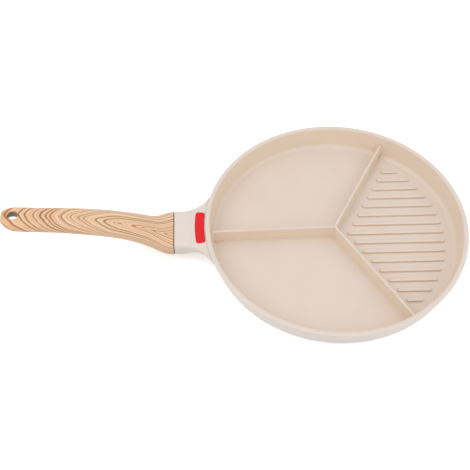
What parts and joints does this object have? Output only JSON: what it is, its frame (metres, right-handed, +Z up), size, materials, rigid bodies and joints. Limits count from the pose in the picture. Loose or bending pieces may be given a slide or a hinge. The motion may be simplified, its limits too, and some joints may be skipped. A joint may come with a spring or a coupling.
{
  "type": "divided frying pan",
  "caption": "Shallow round frying pan with dividers in a Y, grill bars in one section, a red heat strip on the neck and a wood-look handle with a hanging hole.",
  "frame": {"origin": "centre of the base, on the plane the pan stands on", "axes": "+X away from the handle along the pan's middle, +Y across it, +Z up out of the pan"},
  "size_m": [0.491, 0.2808, 0.065],
  "materials": {
    "coated_casting": "fine matt ceramic coating, cream beige, on cast aluminium",
    "indicator_red": "smooth satin red",
    "seal_black": "matt black-brown",
    "wood_look": "satin printed wood grain on moulded phenolic",
    "screw_steel": "plain steel"
  },
  "bodies": {
    "root": {"pan_body": "coated_casting", "heat_indicator": "indicator_red", "handle_gasket": "seal_black", "handle_grip": "wood_look", "handle_screw": "screw_steel"}
  },
  "joints": []
}
